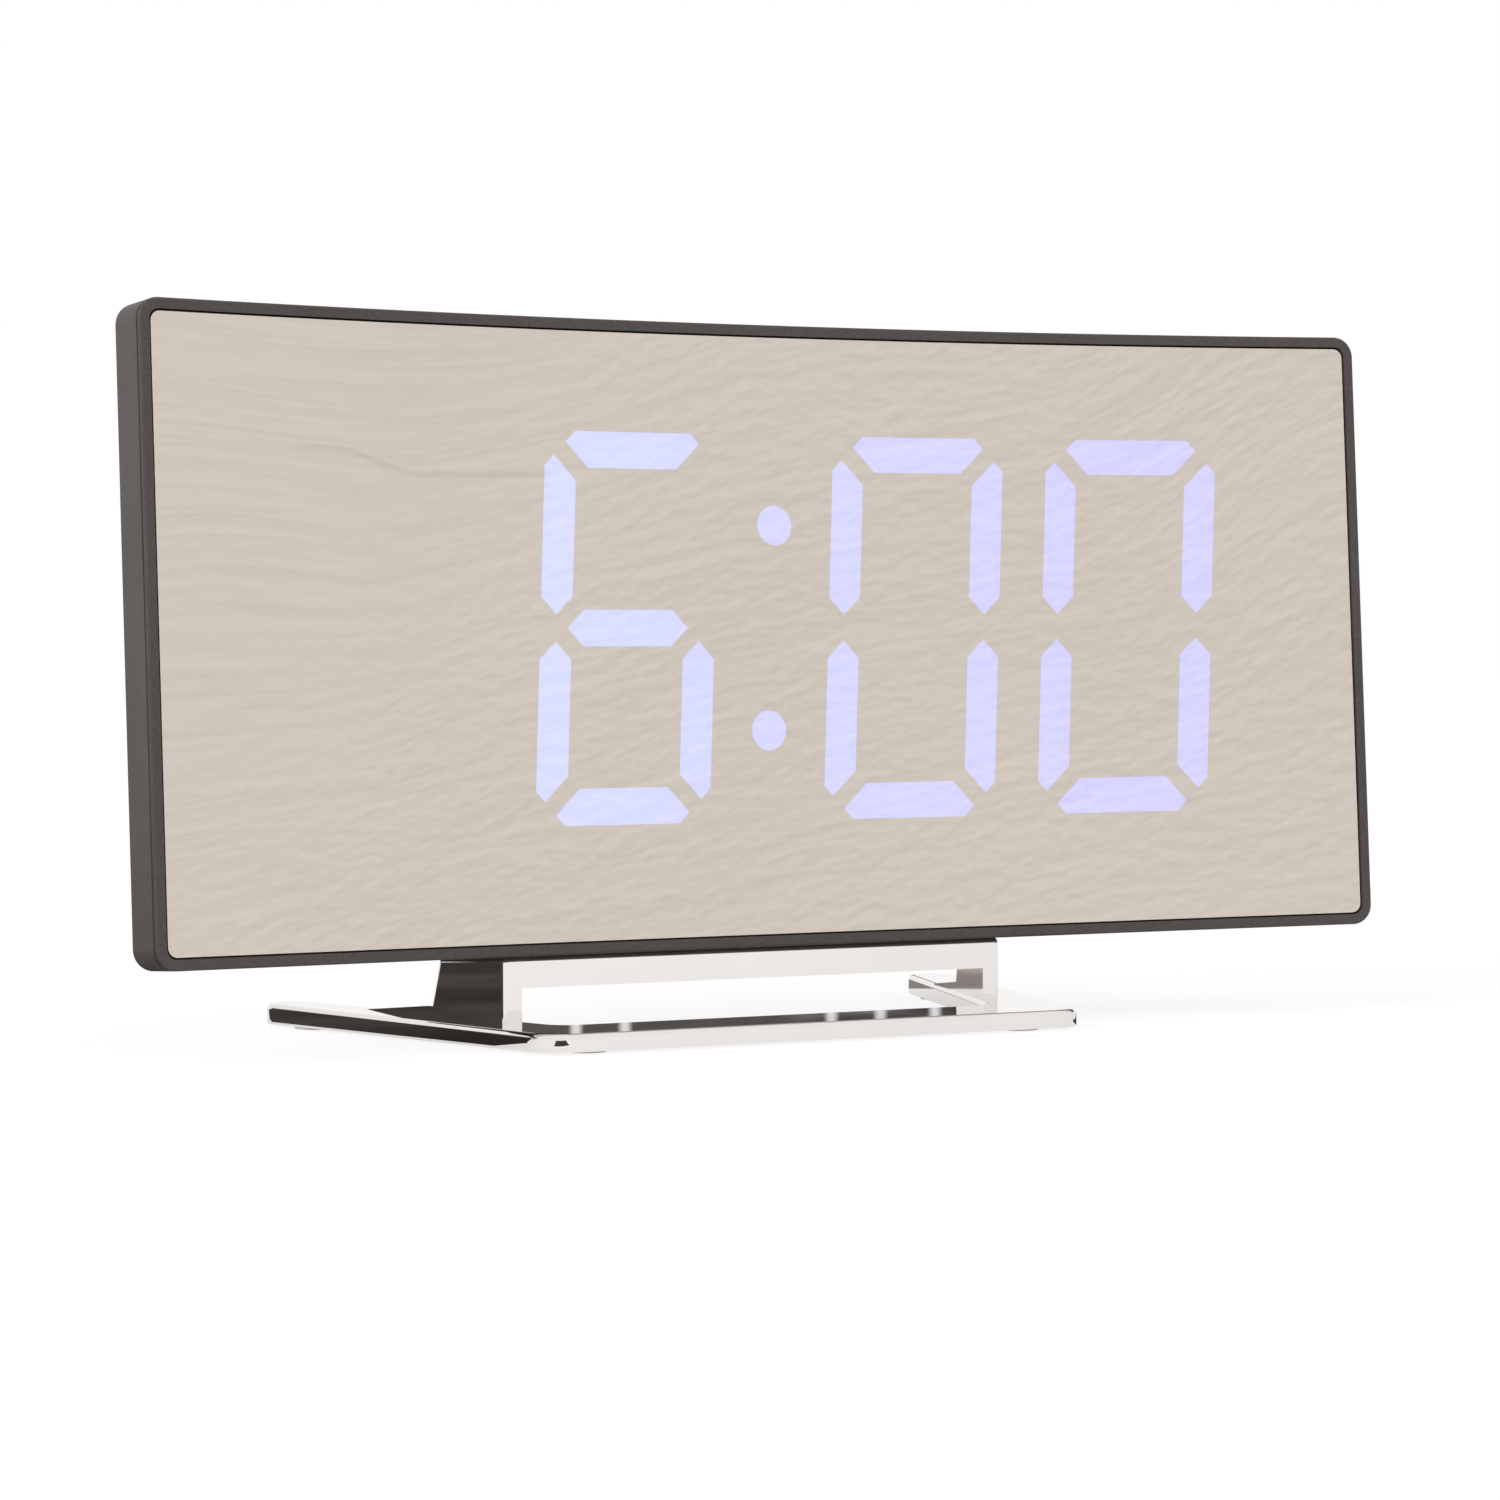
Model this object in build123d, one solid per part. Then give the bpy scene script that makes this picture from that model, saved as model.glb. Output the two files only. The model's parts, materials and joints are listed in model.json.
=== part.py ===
import os
from math import asin, cos, degrees, radians, sin, sqrt, tan

from build123d import *

# Driving sizes in millimetres and degrees.
# The case is drawn upright: y = 0 on the middle of its concave front, y to the back, z = 0 at mid-height.
case_width = 186.0
case_height = 84.2
case_depth = 8.8
case_corner = 2.8
case_back_round = 1.2
screen_radius = 555.4
lean = 3.7
wall = 1.8
fit = 0.1

# Bezel and mirror
bezel_face = 1.45
bezel_edge = 0.7
bezel_round = 0.35
parting_chamfer = 0.35
rabbet_wall = 0.9
mirror_inset = 0.1
mirror_thickness = 1.2
mirror_gap = 0.08
mirror_corner = 1.3
ledge_width = 2.5
ledge_thickness = 1.5

# Display stack
mask_thickness = 0.2
lens_thickness = 1.0
light_box_thickness = 3.6
light_box_side = 14.0
light_box_end = 10.1
light_box_corner = 2.0
led_board_thickness = 0.8
lens_fit = 0.1
rib_width = 1.2
rib_pitch = 10.0
rib_end = 6.0

# Digits
digit_count = 4
digits_side = 23.9
digits_end = 15.9
digit_stroke = 4.9
digit_gap = 2.4
digit_tip = 1.45
digit_slant = 3.7
digit_space = 6.7
colon_space = 17.6
display_shift = 1.0
display_rise = 1.05
dot_diameter = 5.4
dot_pitch = 27.8
led_length = 2.8
led_width = 1.4
led_height = 0.7
led_solder = 0.05

# Rear pod
pod_width = 96.0
pod_top = 30.0
pod_back = 27.0
pod_corner = 6.0
pod_round = 2.5

# Cells and battery bay
cell_diameter = 10.5
cell_length = 43.4
cell_nub_diameter = 3.8
cell_nub_length = 1.1
cell_count = 3
cell_pitch = 11.0
cell_gap = 0.4
bay_wall = 1.4
bay_margin = 0.6
bay_floor_height = 6.5
contact_thickness = 0.4
contact_width = 7.0
contact_tail = 3.6
spring_bow = 3.5
door_thickness = 1.6
door_ledge = 2.2
door_ledge_thickness = 1.6
door_corner = 2.0
door_fit = 0.3
latch_width = 12.0
latch_length = 8.0
latch_slit = 0.8
latch_rib = 0.8
latch_rib_length = 8.8
latch_rib_pitch = 1.6
latch_rib_height = 0.4
latch_rib_count = 3
thumb_radius = 6.0
thumb_depth = 1.0

# Control board, keys and inlet
board_thickness = 1.6
board_margin = 2.6
board_clear = 1.0
key_length = 9.0
key_width = 5.0
key_proud = 1.2
key_corner = 2.2
key_round = 0.5
key_clear = 0.3
key_travel = 0.5
key_pitch = 14.0
key_first = -17.0
key_flange = 0.8
key_flange_rim = 1.2
key_post_radius = 1.5
key_post_length = 1.0
switch_size = 6.0
switch_height = 3.5
plunger_radius = 1.7
plunger_height = 1.0
plunger_seat = 0.9
plunger_clear = 0.2
buzzer_diameter = 9.5
buzzer_height = 4.6
buzzer_hole_depth = 1.0
buzzer_inset = 8.6
sound_hole = 1.4
sound_ring = 3.0
sound_count = 6
inlet_length = 5.6
inlet_width = 7.5
inlet_height = 2.7
inlet_wall = 0.35
tongue_thickness = 0.7
tongue_side = 0.7
inlet_position = 8.0
inlet_recess = 0.3
inlet_clear = 0.3
link_width = 16.0
link_depth = 2.5
link_height = 4.0
ribbon_width = 12.4
ribbon_thickness = 0.4
chip_length = 10.0
chip_width = 6.0
chip_height = 1.6
crystal_length = 8.0
crystal_width = 3.2

# Fasteners
screw_diameter = 2.0
screw_head = 4.0
screw_head_height = 1.0
screw_hole = 2.4
screw_fit = 0.02
screw_reach = 3.4
cross_length = 2.4
cross_width = 0.5
cross_depth = 0.6
boss_radius = 2.5
boss_margin = 1.2
lug_margin = 0.5

# Stand, drawn in the part's own frame: z = 0 on the table, y = 0 half way along the foot
foot_depth = 61.0
foot_front_width = 82.0
foot_back_width = 112.0
foot_bar = 12.0
foot_leg_front = 7.7
foot_leg_tip = 7.0
foot_front_height = 2.8
foot_tip_height = 3.2
foot_front_corner = 5.5
foot_inner_corner = 3.0
foot_tip_corner = 3.0
foot_round = 0.7
pad_radius = 3.0
pad_height = 1.0
pad_proud = 0.4
pad_fit = 0.05
pad_front_inset = 5.2
pad_tip_inset = 8.0
bridge_front = -12.3
bridge_width = 77.0
bridge_depth = 14.3
bridge_top_depth = 12.7
bridge_wall = 2.6
bridge_round = 0.8
bridge_splay = 17.0
bridge_inset = 6.0
opening_top = 7.4
seat_height = 11.7
plinth_height = 4.3
ramp_length = 12.0
tenon_length = 8.0
tenon_depth = 1.8
tenon_side = 0.6
tab_width = 8.0
tab_depth = 5.0
tab_height = 6.0
tab_position = 30.0
tab_root = 1.0
tab_wall = 1.4

# Depths behind the bezel's front face, measured square to the curve
mirror_back = mirror_inset + mirror_thickness
ledge_back = mirror_back + ledge_thickness
mask_back = mirror_back + mask_thickness
light_box_back = mask_back + light_box_thickness
led_board_back = light_box_back + led_board_thickness
rear_inside = case_depth - wall

# The display fills the case but for its margins
light_box_width = case_width - 2 * light_box_side
light_box_height = case_height - 2 * light_box_end
digits_width = case_width - 2 * digits_side
digit_width = (digits_width - (digit_count - 2) * digit_space - colon_space) / digit_count
digit_height = case_height - 2 * digits_end
digit_pitch = digit_width + digit_space
pair_pitch = digit_width + colon_space
bar_across = digit_width - 2 * (digit_stroke + digit_gap)
bar_up = (digit_height - 3 * digit_stroke) / 2 - 2 * digit_gap

# Places along the case's own y axis, from the pod's back forwards
pod_inside = pod_back - wall
key_flange_back = pod_inside - key_clear
key_flange_front = key_flange_back - key_flange
plunger_top = key_flange_front - key_post_length
switch_top = plunger_top - plunger_height
board_back = switch_top - switch_height
board_front = board_back - board_thickness
door_front = pod_back - door_thickness
cell_y = door_front - cell_gap - cell_diameter / 2
bay_floor = cell_y - cell_diameter / 2

# Places up the case's own z axis
case_bottom = -case_height / 2
bay_length = cell_length + cell_nub_length + 2 * contact_thickness + spring_bow
bay_height = (cell_count - 1) * cell_pitch + cell_diameter + 2 * bay_margin
bay_bottom = case_bottom + bay_floor_height
bay_top = bay_bottom + bay_height
bay_middle = (bay_bottom + bay_top) / 2
door_width = bay_length + 2 * door_ledge
door_height = bay_height + 2 * door_ledge
board_bottom = bay_top + bay_wall + board_clear
board_top = pod_top - wall - board_clear
board_middle = (board_bottom + board_top) / 2
board_width = pod_width - 2 * (wall + board_margin)
buzzer_position = buzzer_inset - board_width / 2
pod_height = pod_top - case_bottom
pod_middle = (pod_top + case_bottom) / 2

# Long enough to pass right through the case, short enough to miss the far side of the screen's cylinder
through = 3 * pod_back
tall = 2 * case_height
overlap = 0.5

key_names = ("mode", "up", "down", "alarm")
key_places = [key_first + key_pitch * number for number in range(len(key_names))]
keys_middle = (key_places[0] + key_places[-1]) / 2

parts = {}


def block(x0, x1, y0, y1, z0, z1):
    size = Box(x1 - x0, y1 - y0, z1 - z0)
    return Pos((x0 + x1) / 2, (y0 + y1) / 2, (z0 + z1) / 2) * size


def rod(radius, near, far, x=0.0, z=0.0):
    turned = Rot(-90, 0, 0) * Cylinder(radius, far - near, align=(Align.CENTER, Align.CENTER, Align.MIN))
    return Pos(x, near, z) * turned


def prism(outline, near, far):
    return Pos(0, far, 0) * extrude(Plane.XZ * outline, amount=far - near)


def slab(width, height, corner, near, far, x=0.0, z=0.0):
    return prism(Pos(x, z) * RectangleRounded(width, height, corner), near, far)


def band(near, far):
    ring = Cylinder(screen_radius + far, tall) - Cylinder(screen_radius + near, tall)
    return Pos(0, -screen_radius, 0) * ring


def layer(near, far, width, height, corner):
    return band(near, far) & slab(width, height, corner, -through, through)


def on_curve(x, z):
    turn = asin(x / screen_radius)
    place = Pos(screen_radius * sin(turn), screen_radius * (cos(turn) - 1), z)
    return place * Rot(0, 0, -degrees(turn))


def curved_face(solid, depth):
    rounds = solid.faces().filter_by(GeomType.CYLINDER)
    return min(rounds, key=lambda face: abs(face.radius - screen_radius - depth))


def screw(length):
    head = rod(screw_head / 2, -screw_head_height, 0)
    shank = rod(screw_diameter / 2, 0, length)
    slot = block(-cross_length / 2, cross_length / 2, -screw_head_height, cross_depth - screw_head_height,
                 -cross_width / 2, cross_width / 2)
    return head + shank - slot - Rot(0, 90, 0) * slot


def add(name, *solids):
    parts[name] = list(solids)


# Case screws stand square to the curve, one in each corner
case_screw_x = case_width / 2 - wall - boss_radius - boss_margin
case_screw_z = case_height / 2 - wall - boss_radius - boss_margin
lug_x = case_screw_x - boss_radius - lug_margin
lug_z = case_screw_z - boss_radius - lug_margin
case_screw_places = [on_curve(x, z) for x in (-case_screw_x, case_screw_x)
                     for z in (-case_screw_z, case_screw_z)]
case_screw_seat = case_depth - screw_head_height
case_screw_end = case_screw_seat - screw_reach


def front_bezel():
    lip = layer(0, bezel_edge, case_width, case_height, case_corner)
    lip = fillet(curved_face(lip, 0).edges(), bezel_round)
    skirt_inset = rabbet_wall + fit
    skirt_outline = (case_width - 2 * skirt_inset, case_height - 2 * skirt_inset, case_corner - skirt_inset)
    skirt = layer(bezel_edge, ledge_back, *skirt_outline)
    pocket = layer(-bezel_edge, mirror_back, case_width - 2 * bezel_face, case_height - 2 * bezel_face,
                   mirror_corner + mirror_gap)
    window_inset = bezel_face + ledge_width
    window = layer(-bezel_edge, ledge_back + overlap, case_width - 2 * window_inset,
                   case_height - 2 * window_inset, mirror_corner)
    frame = lip + skirt - pocket - window
    corners = layer(mirror_back, ledge_back, *skirt_outline)
    corners -= block(-lug_x, lug_x, -through, through, -case_height, case_height)
    corners -= block(-case_width, case_width, -through, through, -lug_z, lug_z)
    frame += corners
    for place in case_screw_places:
        frame += place * rod(boss_radius, ledge_back - overlap, rear_inside - fit)
    for place in case_screw_places:
        frame -= place * rod(screw_diameter / 2 + screw_fit, case_screw_end - fit, case_depth)
    add("front_bezel", frame)


def mirror_panel():
    inset = bezel_face + mirror_gap
    add("mirror_panel", layer(mirror_inset, mirror_back, case_width - 2 * inset, case_height - 2 * inset,
                              mirror_corner))


def flip_x(points):
    return [(-x, z) for x, z in reversed(points)]


def flip_z(points):
    return [(x, -z) for x, z in reversed(points)]


def segment_outlines(grow):
    # Seven bars with mitred ends, named in the usual order a to g, each drawn anticlockwise
    a = digit_width / 2 + grow
    b = digit_height / 2 + grow
    s = digit_stroke + 2 * grow
    h = digit_gap / sqrt(2) - sqrt(2) * grow
    t = digit_tip
    top = [(-a + s + h, b - s), (a - s - h, b - s), (a - h - t, b - t), (a - h - 2 * t, b),
           (-a + h + 2 * t, b), (-a + h + t, b - t)]
    left = [(-a, b - h - 2 * t), (-a, h + s / 2), (-a + s / 2, h), (-a + s, h + s / 2),
            (-a + s, b - s - h), (-a + t, b - h - t)]
    middle = [(-a + s + h, -s / 2), (a - s - h, -s / 2), (a - s / 2 - h, 0), (a - s - h, s / 2),
              (-a + s + h, s / 2), (-a + s / 2 + h, 0)]
    return {"a": top, "b": flip_x(left), "c": flip_z(flip_x(left)), "d": flip_z(top),
            "e": flip_z(left), "f": left, "g": middle}


def slanted(x, z):
    return x + z * tan(radians(digit_slant)) + display_shift, z + display_rise


digit_places = [-pair_pitch / 2 - digit_pitch, -pair_pitch / 2,
                pair_pitch / 2, pair_pitch / 2 + digit_pitch]
lit_bars = ["", "acdefg", "abcdef", "abcdef"]
dot_places = [slanted(0, z) for z in (-dot_pitch / 2, dot_pitch / 2)]


def bars(wanted, grow=0.0):
    shapes = Sketch()
    for centre, lit in zip(digit_places, lit_bars):
        for name, points in segment_outlines(grow).items():
            if wanted == "all" or (wanted == "lit") == (name in lit):
                moved = [slanted(centre + x, z) for x, z in points]
                shapes += Polygon(*moved, align=None)
    return shapes


def dots(grow=0.0):
    return Sketch() + [Pos(x, z) * Circle(dot_diameter / 2 + grow) for x, z in dot_places]


def cut_layer(outline, near, far):
    return prism(outline, -through, through) & band(near, far)


def display_stack():
    window_inset = bezel_face + ledge_width + mirror_gap
    mask = layer(mirror_back, mask_back, case_width - 2 * window_inset, case_height - 2 * window_inset,
                 mirror_corner)
    for x in (-1, 1):
        for z in (-1, 1):
            corner = Box(case_width - 2 * (lug_x - fit), 2 * through, case_height - 2 * (lug_z - fit))
            mask -= Pos(x * case_width / 2, 0, z * case_height / 2) * corner
    mask -= prism(bars("all") + dots(), -through, through)
    add("segment_mask", mask)

    lens_back = mask_back + lens_thickness
    add("lit_segments", *cut_layer(bars("lit"), mask_back, lens_back).solids())
    add("dark_segments", *cut_layer(bars("dark"), mask_back, lens_back).solids())
    add("colon_dots", *cut_layer(dots(), mask_back, lens_back).solids())

    board_outline = (light_box_width, light_box_height, light_box_corner)
    box = layer(mask_back, light_box_back, *board_outline)
    box -= prism(bars("all", lens_fit) + dots(lens_fit), -through, through)
    add("light_box", box)
    add("led_board", layer(light_box_back, led_board_back, *board_outline))

    led_seat = light_box_back - led_solder
    flat = block(-led_length / 2, led_length / 2, led_seat - led_height, led_seat,
                 -led_width / 2, led_width / 2)
    standing = Rot(0, 90, 0) * flat
    edge = (digit_width - digit_stroke) / 2
    half = (digit_height - digit_stroke) / 2
    chips = []
    for centre in digit_places:
        for side in (-1, 1):
            for z in (-half, 0, half):
                chips.append(on_curve(*slanted(centre + side * bar_across / 4, z)) * standing)
            for x in (-edge, edge):
                for z in (-half / 2, half / 2):
                    chips.append(on_curve(*slanted(centre + x, z + side * bar_up / 4)) * flat)
    chips += [on_curve(*place) * flat for place in dot_places]
    add("led_chips", *chips)


board_screw_inset = boss_radius + boss_margin
board_screw_places = [(board_screw_inset - board_width / 2, board_top - board_screw_inset),
                      (board_width / 2 - board_screw_inset, board_top - board_screw_inset),
                      (keys_middle, board_bottom + board_screw_inset)]
buzzer_z = board_middle
inlet_z = board_bottom + inlet_position
tab_y = bridge_inset + bridge_top_depth / 2


def rear_shell():
    outer = layer(bezel_edge, case_depth, case_width, case_height, case_corner)
    outer = fillet(curved_face(outer, case_depth).edges(), case_back_round)
    outer = chamfer(curved_face(outer, bezel_edge).edges(), parting_chamfer)
    pod = slab(pod_width, pod_height, pod_corner, bezel_edge + wall, pod_back, z=pod_middle)
    pod = fillet(pod.faces().sort_by(Axis.Y)[-1].edges(), pod_round)
    hollow = layer(-bezel_edge, rear_inside, case_width - 2 * wall, case_height - 2 * wall,
                   case_corner - wall)
    hollow += slab(pod_width - 2 * wall, pod_height - 2 * wall, pod_corner - wall, 0, pod_inside,
                   z=pod_middle)
    rabbet = layer(-bezel_edge, ledge_back + fit, case_width - 2 * rabbet_wall,
                   case_height - 2 * rabbet_wall, case_corner - rabbet_wall)
    shell = outer + pod - hollow - rabbet

    # Battery bay: a box behind the pod's back wall, with a ledge all round for the door
    half_bay = bay_length / 2 + bay_wall
    shell += block(-half_bay, half_bay, bay_floor - bay_wall, pod_inside + overlap,
                   bay_bottom - bay_wall, bay_top + bay_wall)
    rim_width = door_width + 2 * (door_fit + wall)
    rim_height = door_height + 2 * (door_fit + wall)
    shell += slab(rim_width, rim_height, door_corner + wall, door_front - door_ledge_thickness,
                  pod_inside + overlap, z=bay_middle)
    shell -= block(-bay_length / 2, bay_length / 2, bay_floor, pod_back + overlap, bay_bottom, bay_top)
    shell -= slab(door_width + 2 * door_fit, door_height + 2 * door_fit, door_corner + door_fit, door_front,
                  pod_back + overlap, z=bay_middle)
    shell -= rod(thumb_radius, pod_back - thumb_depth, pod_back + overlap, z=bay_middle + door_height / 2)
    for side in (-1, 1):
        tail_x = side * (bay_length / 2 - contact_thickness / 2)
        half_slot = contact_thickness / 2 + fit
        shell -= block(tail_x - half_slot, tail_x + half_slot, cell_y - contact_tail / 2 - fit,
                       cell_y + contact_tail / 2 + fit, bay_top - overlap, bay_top + bay_wall + overlap)

    # Sleeves that take the stand's two tabs
    for x in (-tab_position, tab_position):
        half_x = tab_width / 2 + fit
        half_y = tab_depth / 2 + fit
        shell += block(x - half_x - tab_wall, x + half_x + tab_wall, tab_y - half_y - tab_wall,
                       tab_y + half_y + tab_wall, case_bottom + overlap, case_bottom + tab_height + fit)
        shell -= block(x - half_x, x + half_x, tab_y - half_y, tab_y + half_y,
                       case_bottom - overlap, case_bottom + tab_height + overlap)

    # Bosses, key holes, sound holes and the inlet's slot
    for x, z in board_screw_places:
        shell += rod(boss_radius, board_back, pod_inside + overlap, x, z)
        shell -= rod(screw_diameter / 2 + screw_fit, board_back - overlap,
                     board_front + screw_reach + fit, x, z)
    for x in key_places:
        shell -= slab(key_length + 2 * key_clear, key_width + 2 * key_clear, key_corner + key_clear,
                      pod_inside - overlap, pod_back + overlap, x, board_middle)
    shell -= rod(sound_hole / 2, pod_inside - overlap, pod_back + overlap, buzzer_position, buzzer_z)
    for number in range(sound_count):
        turn = radians(360 * number / sound_count)
        shell -= rod(sound_hole / 2, pod_inside - overlap, pod_back + overlap,
                     buzzer_position + sound_ring * cos(turn), buzzer_z + sound_ring * sin(turn))
    shell -= block(pod_width / 2 - wall - overlap, pod_width / 2 + overlap, board_back - fit,
                   board_back + inlet_height + inlet_clear, inlet_z - inlet_width / 2 - inlet_clear,
                   inlet_z + inlet_width / 2 + inlet_clear)

    # Ribs that carry the display board on both sides of the pod, and the case screws' seats
    ribs = []
    x = pod_width / 2 + rib_pitch / 2
    while x < light_box_width / 2 - rib_width:
        ribs += [block(side * x - rib_width / 2, side * x + rib_width / 2, -through, through,
                       rib_end - light_box_height / 2, light_box_height / 2 - rib_end) for side in (-1, 1)]
        x += rib_pitch
    for rib in ribs:
        shell += rib & band(led_board_back, rear_inside + overlap)
    for place in case_screw_places:
        shell -= place * rod(screw_hole / 2, rear_inside - overlap, case_depth)
        shell -= place * rod(screw_head / 2 + fit, case_screw_seat, case_depth + overlap)
    add("rear_shell", shell)


def control_electronics():
    board = block(-board_width / 2, board_width / 2, board_front, board_back, board_bottom, board_top)
    for x, z in board_screw_places:
        board -= rod(screw_hole / 2, board_front - overlap, board_back + overlap, x, z)
    add("control_board", board)

    half_switch = switch_size / 2
    housing = block(-half_switch, half_switch, board_back, switch_top, -half_switch, half_switch)
    well_floor = switch_top - plunger_seat - key_travel - plunger_clear
    housing -= rod(plunger_radius + plunger_clear, well_floor, switch_top + overlap)
    add("switch_housings", *[Pos(x, 0, board_middle) * housing for x in key_places])
    buzzer_top = board_back + buzzer_height
    buzzer = rod(buzzer_diameter / 2, board_back, buzzer_top, buzzer_position, buzzer_z)
    buzzer -= rod(sound_hole / 2, buzzer_top - buzzer_hole_depth, pod_back, buzzer_position, buzzer_z)
    add("buzzer", buzzer)

    mouth = pod_width / 2 - inlet_recess
    inlet = block(mouth - inlet_length, mouth, board_back, board_back + inlet_height,
                  inlet_z - inlet_width / 2, inlet_z + inlet_width / 2)
    inlet -= block(mouth - inlet_length + inlet_wall, mouth + overlap, board_back + inlet_wall,
                   board_back + inlet_height - inlet_wall, inlet_z - inlet_width / 2 + inlet_wall,
                   inlet_z + inlet_width / 2 - inlet_wall)
    add("power_inlet", inlet)
    tongue_y = board_back + inlet_height / 2
    tongue_half = inlet_width / 2 - inlet_wall - tongue_side
    add("inlet_tongue", block(mouth - inlet_length + inlet_wall, mouth - inlet_wall,
                              tongue_y - tongue_thickness / 2, tongue_y + tongue_thickness / 2,
                              inlet_z - tongue_half, inlet_z + tongue_half))

    socket = block(-link_width / 2, link_width / 2, 0, link_depth, -link_height / 2, link_height / 2)
    add("link_sockets", Pos(0, led_board_back, board_middle) * socket,
        Pos(0, board_front - link_depth, board_middle) * socket)
    add("ribbon_cable", block(-ribbon_width / 2, ribbon_width / 2, led_board_back + link_depth,
                              board_front - link_depth,
                              board_middle - ribbon_thickness / 2, board_middle + ribbon_thickness / 2))
    chip = block(-chip_length / 2, chip_length / 2, board_front - chip_height, board_front,
                 -chip_width / 2, chip_width / 2)
    crystal = block(-crystal_length / 2, crystal_length / 2, board_front - crystal_width, board_front,
                    -crystal_width / 2, crystal_width / 2)
    chip_x = link_width / 2 + chip_length
    add("clock_chips", Pos(-chip_x, 0, board_middle) * chip, Pos(chip_x, 0, board_middle) * chip,
        Pos(-chip_x, 0, board_bottom + crystal_width) * crystal)


def keys():
    for name, x in zip(key_names, key_places):
        cap = slab(key_length, key_width, key_corner, key_flange_back, pod_back + key_proud)
        cap = fillet(cap.faces().sort_by(Axis.Y)[-1].edges(), key_round)
        cap += slab(key_length + 2 * key_flange_rim, key_width + 2 * key_flange_rim, key_corner + key_clear,
                    key_flange_front, key_flange_back)
        cap += rod(key_post_radius, plunger_top, key_flange_front)
        add(name + "_button", Pos(x, 0, board_middle) * cap)
        add(name + "_plunger", rod(plunger_radius, switch_top - plunger_seat, plunger_top, x, board_middle))


def battery_set():
    cells = []
    plates = []
    springs = []
    for number in range(cell_count):
        side = 1 if number % 2 == 0 else -1
        z = bay_top - bay_margin - cell_diameter / 2 - number * cell_pitch
        nub_end = bay_length / 2 - contact_thickness
        body_end = nub_end - cell_nub_length
        turned = Pos(0, cell_y, z) * Rot(0, 90 * side, 0)
        body = Pos(0, 0, body_end - cell_length) * Cylinder(cell_diameter / 2, cell_length,
                                                            align=(Align.CENTER, Align.CENTER, Align.MIN))
        nub = Pos(0, 0, body_end) * Cylinder(cell_nub_diameter / 2, cell_nub_length,
                                             align=(Align.CENTER, Align.CENTER, Align.MIN))
        cells.append(turned * (body + nub))

        half = contact_width / 2
        tail = board_bottom - z if number == 0 else half
        tail_half = contact_tail / 2
        wall_x = side * (bay_length / 2 - contact_thickness / 2)
        thick = contact_thickness / 2
        plate = block(-thick, thick, -half, half, -half, half)
        plate += block(-thick, thick, -tail_half, tail_half, 0, tail)
        plates.append(Pos(wall_x, cell_y, z) * plate)
        bow = Cylinder(spring_bow, contact_width) - Cylinder(spring_bow - contact_thickness, contact_width)
        bow &= block(0, spring_bow, -spring_bow, spring_bow, -half, half)
        leaf = plate + Pos(thick, 0, 0) * bow
        springs.append(Pos(-wall_x, cell_y, z) * Rot(0, 0, 0 if side > 0 else 180) * leaf)
    add("battery_cells", *cells)
    add("plate_contacts", *plates)
    add("spring_contacts", *springs)


def battery_door():
    door = slab(door_width, door_height, door_corner, door_front, pod_back, z=bay_middle)
    top = bay_middle + door_height / 2
    half = latch_width / 2
    for side in (-1, 1):
        door -= block(side * half - latch_slit / 2, side * half + latch_slit / 2, door_front - overlap,
                      pod_back + overlap, top - latch_length, top + overlap)
    for number in range(latch_rib_count):
        z = top - latch_length / 2 + latch_rib_pitch * ((latch_rib_count - 1) / 2 - number)
        door += block(-latch_rib_length / 2, latch_rib_length / 2, pod_back - overlap,
                      pod_back + latch_rib_height, z - latch_rib / 2, z + latch_rib / 2)
    add("battery_door", door)


def fasteners():
    # A screw's head lies towards negative y, so a screw driven from the back is turned round
    turned = Rot(0, 0, 180)
    add("case_screws", *[place * Pos(0, case_screw_seat, 0) * turned * screw(screw_reach)
                         for place in case_screw_places])
    add("board_screws", *[Pos(x, board_front, z) * screw(screw_reach) for x, z in board_screw_places])


splay = tan(radians(bridge_splay))
bridge_back = bridge_front + bridge_depth
foot_front = -foot_depth / 2
foot_inner_front = foot_front_width - 2 * foot_leg_front
foot_inner_back = foot_back_width - 2 * foot_leg_tip
foot_slope = (foot_front_height - foot_tip_height) / foot_depth


def foot_top(y):
    return foot_front_height - foot_slope * (y - foot_front)


def upright(points, z0, z1):
    return Pos(0, 0, z0) * extrude(Polygon(*points, align=None), amount=z1 - z0)


def side_profile(points):
    return extrude(Plane.YZ * Polygon(*points, align=None), amount=case_width, both=True)


def splayed(half_front, front=bridge_front, back=bridge_back):
    half_back = half_front + (back - front) * splay
    return [(-half_front, front), (half_front, front), (half_back, back), (-half_back, back)]


def leg_strip(inset, thickness, front, back):
    # A strip that follows one leg of the bridge, its outer face inset from the bridge's outer face
    outer = bridge_width / 2 - inset
    outer_front = outer + (front - bridge_front) * splay
    outer_back = outer + (back - bridge_front) * splay
    return [(outer_front, front), (outer_back, back), (outer_back - thickness, back),
            (outer_front - thickness, front)]


def mirrored(solid):
    return [solid, mirror(solid, about=Plane.YZ)]


def tenon(clear):
    middle = (bridge_front + bridge_back) / 2
    strip = leg_strip(tenon_side - clear, bridge_wall - 2 * tenon_side + 2 * clear,
                      middle - tenon_length / 2 - clear, middle + tenon_length / 2 + clear)
    return upright(strip, plinth_height - tenon_depth - clear, plinth_height + overlap)


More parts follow.
